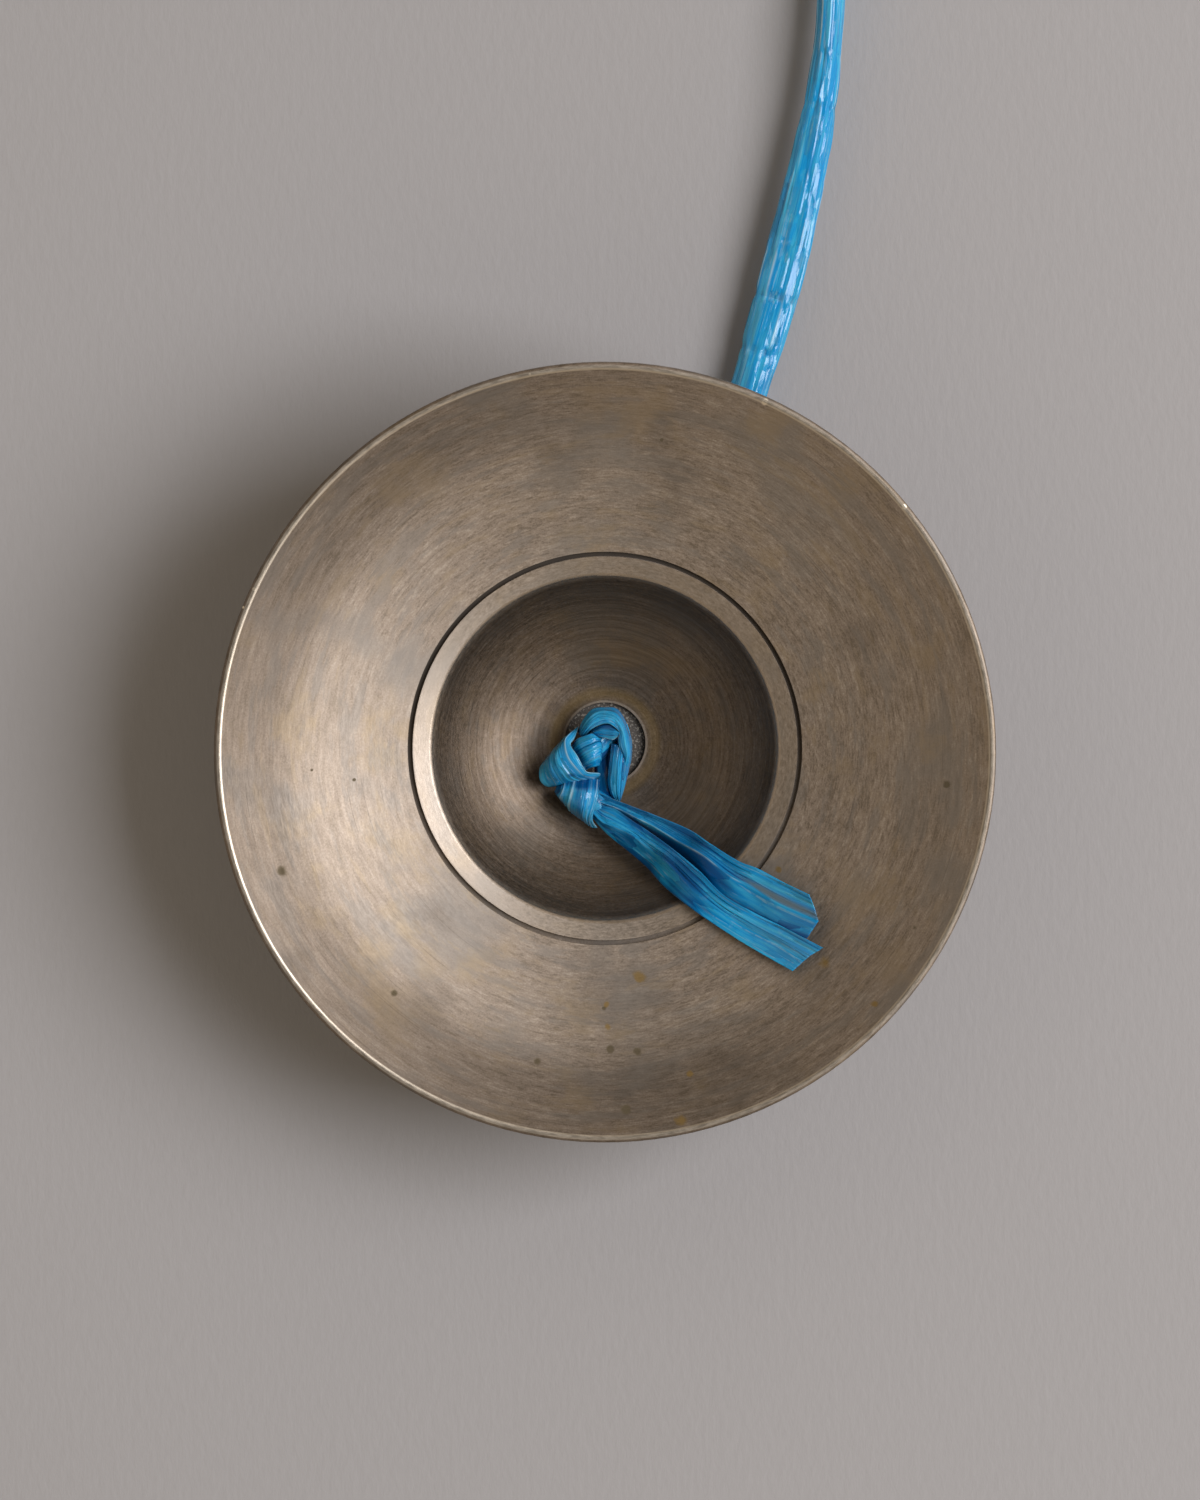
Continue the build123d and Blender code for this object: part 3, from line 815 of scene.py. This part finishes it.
def makeFilm(name, gloss):
    finish, tree, shader = startMaterial(name)
    look, ranges = filmFinish, filmFinish["ranges"]
    lay = addNode(tree, "Attribute", {}, attribute_name="filmLay")["Vector"]
    foldShade = addNode(tree, "Attribute", {}, attribute_name="filmDepthAndShade")["Fac"]
    crease = addNode(tree, "Attribute", {}, attribute_name="filmGlintAndHaze")["Fac"]
    grains = {}
    for kind, (scale, detail, rough) in look["grains"].items():
        grains[kind] = grain(tree, stretched(tree, lay, scale), 1, detail, rough)
    place = addNode(tree, "TexCoord", {})["Object"]
    patch = grain(tree, place, *look["patch"])
    cloud = grain(tree, place, *look["cloud"])
    lift, tone = times(tree, grains["fine"], look["fineLift"]), None
    for scale, high in look["facets"]:  # flat facets that tilt each their own way
        spot = stretched(tree, lay, scale)
        cell = addNode(tree, "TexVoronoi", {"Vector": spot, "Scale": 1})
        away = vectors(tree, "SUBTRACT", spot, cell["Position"])[0]
        tilt = vectors(tree, "SUBTRACT", cell["Color"], (0.5, 0.5, 0.5))[0]
        facet = vectors(tree, "DOT_PRODUCT", away, tilt)["Value"]
        lift = plus(tree, lift, times(tree, facet, high))
        # painted shade: each facet's tilt also darkens or lightens its colour
        tone = tone or addNode(tree, "SeparateXYZ", {0: tilt})[1]
    streak = plus(tree, times(tree, grains["fine"], 0.5), times(tree, grains["broad"], 0.5))
    colour = tint(tree, ramp(tree, streak, *ranges["pale"]), look["body"], look["pale"])
    worn = times(tree, ramp(tree, patch, *ranges["wornPatch"]), ramp(tree, cloud, *ranges["wornCloud"]))
    colour = tint(tree, times(tree, worn, look["wornShare"]), colour, look["worn"])
    thread = ramp(tree, grains["thread"], *ranges["thread"])
    thread = times(tree, thread, ramp(tree, cloud, *ranges["threadCloud"]))
    colour = tint(tree, thread, colour, look["worn"])
    # negative values lighten the film: painted highlight on the sheets, a plain lighter tone on the cord
    colour = tint(tree, ramp(tree, foldShade, *ranges["lighter"]), colour, look["worn"])
    depthAndShade = plus(tree, foldShade, times(tree, tone, look["facetShade"]))
    depthAndShade = plus(tree, depthAndShade, ramp(tree, grains["broad"], *ranges["broadDark"]))
    # painted shade: folds, valleys and lower layers go toward the deep blue
    colour = tint(tree, ramp(tree, depthAndShade, *ranges["depthAndShade"]), colour, look["deepShade"])
    colour = tint(tree, ramp(tree, crease, *ranges["haze"]), colour, look["haze"])
    # painted highlight: glint lines along fold edges and pleat ridges
    colour = tint(tree, ramp(tree, crease, *ranges["edge"]), colour, look["edge"])
    tree.links.new(colour, shader.inputs["Base Color"])
    tree.links.new(ramp(tree, streak, *ranges["roughness"]), shader.inputs["Roughness"])
    bump = addNode(tree, "Bump", {"Strength": 1, "Distance": look["bump"], "Height": lift})[0]
    tree.links.new(bump, shader.inputs["Normal"])
    shader.inputs["IOR"].default_value = look["ior"]
    shader.inputs["Specular IOR Level"].default_value = gloss
    return finish


blues = {part: makeFilm("blue" + part, gloss) for part, gloss in filmFinish["gloss"].items()}
for piece in filmPieces:
    part = "Tail" if "Tail" in piece.name else "Knot" if "Knot" in piece.name else "Film"
    piece.data.materials.append(blues[part])
print("film finished")

bronzeFinish = {
    "shade": (0.250, 0.204, 0.160, 1),
    "body": (0.365, 0.298, 0.243, 1),
    "light": (0.515, 0.440, 0.368, 1),
    "worn": (0.660, 0.575, 0.470, 1),
    "warm": (0.395, 0.308, 0.208, 1),
    "cool": (0.285, 0.256, 0.230, 1),
    "smudge": (0.150, 0.126, 0.104, 1),
    "cup": (0.415, 0.380, 0.345, 1),
    "cupLight": (0.560, 0.530, 0.500, 1),
    "grooveDark": (0.034, 0.027, 0.021, 1),
    "cast": (0.100, 0.088, 0.078, 1),
    "salt": (0.300, 0.275, 0.240, 1),
    "stain": (0.170, 0.138, 0.088, 1),
    "ochre": (0.300, 0.200, 0.070, 1),
    "outer": (0.590, 0.575, 0.560, 1),
    "bare": (0.850, 0.740, 0.590, 1),
    "turned": {  # grain drawn out round the axis: scale round and out, detail, roughness
        "brush": (30, 5.2, 3, 0.75),
        "streak": (9, 1.8, 3, 0.65),
        "band": (0.8, 0.36, 2, 0.6),
        "turning": (1.2, 3.2, 4, 0.72),
        "patina": (3.2, 0.55, 4, 0.66),
        "scratch": (2.2, 8, 1, 0.5),
    },
    "clouds": {  # scale, detail, roughness
        "blotch": (0.12, 3, 0.5),
        "cloud": (0.55, 4, 0.6),
        "speck": (4.5, 2, 0.5),
        "fleck": (6.5, 1, 0.6),
        "haze": (0.19, 4, 0.6),
    },
    "hazeShift": (37, 11, 5),
    "profile": 0.8,  # how far a step up counts as a step out
    "tone": {"brush": 0.46, "streak": 0.32, "fleck": 0.2, "band": 0.11, "blotch": 0.11},
    "toneStart": -0.1,
    "zones": {  # mm: radii of each zone of the face, and heights where it starts and is full
        "topFace": (2.3, 2.8),
        "cup": (14.55, 14.1),
        "recess": (3.46, 3.38),
        "recessFloor": (3.3, 3.1),
        "recessEdge": (3.42, 3.62, 0.05),
        "ochreRing": (3.8, 4.7, 0.4),
        "groove": (16.16, 16.54, 0.04),
        "grooveUp": (9.6, 10.0),
        "land": (14.4, 16.1, 0.15),
        "landUp": (9.4, 9.8),
        "outer": (25.0, 30.0),
        "outerUp": (9.5, 10.5),
        "outerWave": 3,
        "crest": (31.88, 32.25, 0.06),
        "crestUp": (15.8, 16.4),
    },
    "ranges": {  # where each tone sets in, where it is full, and its least and most
        "body": (0.38, 0.51),
        "light": (0.49, 0.66),
        "blotchCool": (0.50, 0.66, 0, 0.6),
        "hazeWarm": (0.52, 0.70, 0, 0.55),
        "patinaCool": (0.50, 0.62, 0, 0.5),
        "patinaWarm": (0.44, 0.34, 0, 0.35),
        "scratch": (0.66, 0.74, 0, 0.35),
        "cupLight": (0.35, 0.65),
        "tarnishAndShade": (0.95, -0.5, 0.15, 1),
        "grooveTopDark": (-0.75, 0.2, 0.5, 0.92),
        "salt": (0.54, 0.62),
        "roughness": (0.3, 0.7, 0.51, 0.63),
    },
    "lightWay": (0.9, 0.35),
    "shares": {
        "smudges": 0.33,
        "warmPatches": 0.45,
        "land": 0.4,
        "crest": 0.75,
        "ochreRing": 0.4,
        "darkSpots": 0.85,
        "ochreSpots": 0.8,
        "nicks": 0.9,
        "recessEdge": 0.5,
    },
    "rougher": {"dull": 0.35, "stains": 0.2, "cup": -0.08, "worn": -0.18, "land": -0.12},
    "lessMetal": {"dull": 0.7, "cup": 0.05},
    "lifts": {"brush": 0.35, "turning": 1.0, "speck": 6, "stains": 0.4},
    "bump": {"Strength": 0.6, "Distance": 0.00003},
    "spotWave": 2.4,
    "firmRims": (2.2, 1.5),
    "softRims": (2.6, 1.1),
    "nicks": [  # stains and marks: place on the near cymbal's face and size, mm
        (13.2, 29.2, 0.3), (24.8, 20.5, 0.2), (27.4, 16.8, 0.22), (-29.1, 13.7, 0.16), (-30.0, 12.2, 0.14),
        (-6.2, 31.5, 0.16),
    ],
    "darkSpots": [
        (-26.9, -9.9, 0.62), (0.4, -25.0, 0.32), (2.7, -25.2, 0.42), (1.8, -29.8, 0.46), (28.5, -2.7, 0.32),
        (25.8, -14.6, 0.32), (-5.6, -25.9, 0.34), (-17.6, -20.2, 0.30), (-21.0, -2.5, 0.16),
        (-24.5, -1.6, 0.18), (4.7, 26.0, 0.16), (-0.1, -21.7, 0.26),
    ],
    "ochreSpots": [
        (2.9, -19.2, 0.6), (0.1, -21.4, 0.3), (0.2, -23.2, 0.3), (6.4, -30.6, 0.7), (7.1, -27.0, 0.36),
        (22.5, -20.9, 0.36), (14.6, -10.1, 0.36), (18.4, -17.7, 0.75),
    ],
    "smudges": [
        (18.8, -15.9, 2.4), (17.5, -18.7, 2.0), (18.4, -16.8, 1.6), (14.8, -26.6, 1.7), (7.0, -29.2, 2.2),
        (11.0, -29.0, 1.5), (-25.7, -17.5, 1.6), (-14.7, -20.7, 2.2), (-14.2, -13.8, 2.0), (-3.9, 24.1, 2.8),
        # the last three, broad, make the dish darker towards the bottom
        (4.6, 26.1, 2.3), (6.0, 22.6, 2.8), (21.5, 9.5, 2.2), (4.0, -25.0, 6.5), (9.5, -26.0, 5.0),
        (0.0, -20.5, 5.0),
    ],
    "warmPatches": [
        (-14.8, 22.6, 2.2), (-17.7, -21.9, 2.6), (-14.5, -18.0, 1.3), (-1.0, 29.0, 1.8), (20.5, -12.0, 2.4),
        (24.0, -17.5, 2.0),
    ],
}


def spotMask(tree, flat, cloud, spots, turn, rims):  # stains at places on the face
    total = None
    for x, y, size in spots:
        spot = Matrix.Rotation(radians(turn), 3, "Z") @ Vector((x, y, 0))
        away = vectors(tree, "DISTANCE", flat, spot)["Value"]
        away = plus(tree, away, times(tree, cloud, size * bronzeFinish["spotWave"]))
        mask = ramp(tree, away, size * rims[0], size * rims[1])
        total = mask if total is None else either(tree, total, mask)
    return total


def makeBronze(side, spotTurn):
    finish, tree, shader = startMaterial(side + "Bronze")
    lie, look = pairLie[side], bronzeFinish
    zones, ranges, shares = look["zones"], look["ranges"], look["shares"]
    turned = (radians(pairLie["lean"]), 0, radians(lie["turn"]))
    place = addNode(tree, "TexCoord", {})["Object"]
    ownPlace = {"Vector": place, "Location": lie["mouth"], "Rotation": turned, "Scale": (toMetres,) * 3}
    own = addNode(tree, "Mapping", ownPlace, vector_type="TEXTURE")[0]  # the cymbal's own millimetres
    x, y, z = addNode(tree, "SeparateXYZ", {0: own})
    flat = addNode(tree, "CombineXYZ", {0: x, 1: y})[0]
    radius = vectors(tree, "LENGTH", flat)["Value"]
    ringX, ringY = addNode(tree, "SeparateXYZ", {0: vectors(tree, "NORMALIZE", flat)[0]})[:2]
    profile = plus(tree, radius, times(tree, z, look["profile"]))

    layers = {}
    for kind, (around, out, detail, rough) in look["turned"].items():
        along = {0: times(tree, ringX, around), 1: times(tree, ringY, around), 2: times(tree, profile, out)}
        layers[kind] = grain(tree, addNode(tree, "CombineXYZ", along)[0], 1, detail, rough)
    shifted = addNode(tree, "Mapping", {"Vector": own, "Location": look["hazeShift"]})[0]
    for kind, (scale, detail, rough) in look["clouds"].items():
        layers[kind] = grain(tree, shifted if kind == "haze" else own, scale, detail, rough)
    cloud, speck, turning = layers["cloud"], layers["speck"], layers["turning"]

    topFace = ramp(tree, z, *zones["topFace"])
    inCup = times(tree, ramp(tree, radius, *zones["cup"]), topFace)
    deepDown = times(tree, topFace, ramp(tree, z, *zones["recessFloor"]))
    inRecess = times(tree, ramp(tree, radius, *zones["recess"]), deepDown)
    onEdge = times(tree, ringMask(tree, radius, *zones["recessEdge"]), topFace)
    ochreRing = times(tree, ringMask(tree, radius, *zones["ochreRing"]), topFace)
    inGroove = times(tree, ringMask(tree, radius, *zones["groove"]), ramp(tree, z, *zones["grooveUp"]))
    onLand = times(tree, ringMask(tree, radius, *zones["land"]), ramp(tree, z, *zones["landUp"]))
    wavy = plus(tree, radius, times(tree, layers["band"], zones["outerWave"]))
    onOuter = times(tree, ramp(tree, wavy, *zones["outer"]), ramp(tree, z, *zones["outerUp"]))
    onCrest = times(tree, ringMask(tree, radius, *zones["crest"]), ramp(tree, z, *zones["crestUp"]))
    marks = {}
    for kind in ("smudges", "warmPatches", "darkSpots", "ochreSpots", "nicks"):
        rims = look["softRims"] if kind in ("smudges", "warmPatches") else look["firmRims"]
        marks[kind] = spotMask(tree, flat, cloud, look[kind], spotTurn, rims)

    def mark(kind, mask, under, over):
        return tint(tree, times(tree, mask, shares[kind]), under, look[over])

    tone = look["toneStart"]
    for kind, share in look["tone"].items():
        tone = plus(tree, tone, times(tree, layers[kind], share))
    colour = tint(tree, ramp(tree, tone, *ranges["body"]), look["shade"], look["body"])
    colour = tint(tree, ramp(tree, tone, *ranges["light"]), colour, look["light"])
    colour = tint(tree, ramp(tree, layers["blotch"], *ranges["blotchCool"]), colour, look["cool"])
    colour = tint(tree, ramp(tree, layers["haze"], *ranges["hazeWarm"]), colour, look["warm"])
    colour = tint(tree, ramp(tree, layers["patina"], *ranges["patinaCool"]), colour, look["cool"])
    colour = tint(tree, ramp(tree, layers["patina"], *ranges["patinaWarm"]), colour, look["warm"])
    colour = mark("smudges", marks["smudges"], colour, "smudge")
    colour = mark("warmPatches", marks["warmPatches"], colour, "warm")
    colour = tint(tree, ramp(tree, layers["scratch"], *ranges["scratch"]), colour, look["smudge"])
    cupTone = tint(tree, ramp(tree, turning, *ranges["cupLight"]), look["cup"], look["cupLight"])
    colour = tint(tree, inCup, colour, cupTone, "MULTIPLY")
    wayX, wayY = look["lightWay"]
    toLight = plus(tree, times(tree, ringX, wayX), times(tree, ringY, wayY))
    tarnishAndShade = times(tree, onOuter, ramp(tree, toLight, *ranges["tarnishAndShade"]))  # darker on the left, away from the light: painted shade over the outer dish's real tarnish
    colour = tint(tree, tarnishAndShade, colour, look["outer"], "MULTIPLY")
    # painted highlight: the land ring is lightened
    colour = mark("land", onLand, colour, "light")
    colour = mark("crest", onCrest, colour, "worn")
    colour = mark("ochreRing", ochreRing, colour, "ochre")
    colour = mark("darkSpots", marks["darkSpots"], colour, "stain")
    colour = mark("ochreSpots", marks["ochreSpots"], colour, "ochre")
    colour = mark("nicks", marks["nicks"], colour, "bare")
    grooveTopDark = ramp(tree, ringY, *ranges["grooveTopDark"])  # the groove is darker towards the top
    colour = tint(tree, times(tree, inGroove, grooveTopDark), colour, look["grooveDark"])
    cast = tint(tree, ramp(tree, speck, *ranges["salt"]), look["cast"], look["salt"])
    colour = tint(tree, inRecess, colour, cast)
    colour = mark("recessEdge", onEdge, colour, "light")
    tree.links.new(colour, shader.inputs["Base Color"])

    dull, worn = either(tree, inRecess, inGroove), either(tree, onCrest, marks["nicks"])
    roughness = ramp(tree, layers["brush"], *ranges["roughness"])
    places = {"dull": dull, "stains": marks["darkSpots"], "cup": inCup, "worn": worn, "land": onLand}
    for kind, mask in places.items():
        roughness = plus(tree, roughness, times(tree, mask, look["rougher"][kind]))
    tree.links.new(roughness, shader.inputs["Roughness"])
    crust = times(tree, dull, look["lessMetal"]["dull"])
    crust = plus(tree, crust, times(tree, inCup, look["lessMetal"]["cup"]))
    tree.links.new(sums(tree, "SUBTRACT", 1, crust), shader.inputs["Metallic"])

    lifts = look["lifts"]
    lift = times(tree, layers["brush"], lifts["brush"])
    lift = plus(tree, lift, times(tree, times(tree, turning, inCup), lifts["turning"]))
    lift = plus(tree, lift, times(tree, times(tree, speck, inRecess), lifts["speck"]))
    lift = sums(tree, "SUBTRACT", lift, times(tree, marks["darkSpots"], lifts["stains"]))
    bump = addNode(tree, "Bump", {**look["bump"], "Height": lift})[0]
    tree.links.new(bump, shader.inputs["Normal"])
    return finish


for side, spotTurn in (("near", 0), ("far", 140)):
    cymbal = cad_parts[side + "_cymbal"]
    bronze = makeBronze(side, spotTurn)
    cymbal.data.materials.clear()
    cymbal.data.materials.append(bronze)
print("bronze finished")

floorLook = {
    "size": 3.0,
    "colour": (0.406, 0.393, 0.400, 1),
    "shade": (0.382, 0.370, 0.377, 1),
    "stretch": (1, 0.4, 1),
    "fibre": (1600, 4, 0.6),
    "roughness": 0.9,
    "gloss": 0.2,
    "bump": {"Strength": 0.45, "Distance": 0.0001},
}
lightLook = {
    "key": {"heading": 6, "lift": 47.5, "far": 1.0, "size": 0.64, "power": 9.5, "colour": (0.955, 0.965, 1)},
    "aim": (0.010, -0.060, 0.010),
    "sky": (0.90, 0.775, 0.61, 1),
    "skyPower": 0.55,
    "zenith": (0.72, 0.95),
    "zenithPower": 0.08,
}

bm = bmesh.new()
bmesh.ops.create_grid(bm, x_segments=1, y_segments=1, size=floorLook["size"])
floorMesh = bpy.data.meshes.new("floor")
bm.to_mesh(floorMesh)
bm.free()
floor = bpy.data.objects.new("floor", floorMesh)
scene.collection.objects.link(floor)
paper, tree, shader = startMaterial("greyPaper")
place = addNode(tree, "TexCoord", {})["Object"]
fibre = grain(tree, stretched(tree, place, floorLook["stretch"]), *floorLook["fibre"])
colour = tint(tree, fibre, floorLook["shade"], floorLook["colour"])
tree.links.new(colour, shader.inputs["Base Color"])
shader.inputs["Roughness"].default_value = floorLook["roughness"]
shader.inputs["Specular IOR Level"].default_value = floorLook["gloss"]
bump = addNode(tree, "Bump", {**floorLook["bump"], "Height": fibre})[0]
tree.links.new(bump, shader.inputs["Normal"])
floorMesh.materials.append(paper)

key = lightLook["key"]
lamp = bpy.data.lights.new("keyLight", "AREA")
lamp.size, lamp.energy, lamp.color = key["size"], key["power"], key["colour"]
keyLight = bpy.data.objects.new("keyLight", lamp)
heading, lift = radians(key["heading"]), radians(key["lift"])
away = Vector((cos(heading) * cos(lift), sin(heading) * cos(lift), sin(lift)))
keyLight.location = Vector(lightLook["aim"]) + away * key["far"]
keyLight.rotation_euler = away.to_track_quat("Z", "Y").to_euler()
scene.collection.objects.link(keyLight)
world = bpy.data.worlds.new("studio")
world.use_nodes = True
sky = world.node_tree
up = addNode(sky, "SeparateXYZ", {0: addNode(sky, "TexCoord", {})["Generated"]})[2]
powers = lightLook["skyPower"], lightLook["zenithPower"]
power = ramp(sky, up, *lightLook["zenith"], *powers)  # the studio is dark overhead
sky.links.new(power, sky.nodes["Background"].inputs[1])
sky.nodes["Background"].inputs[0].default_value = lightLook["sky"]
scene.world = world
print("floor and light set")
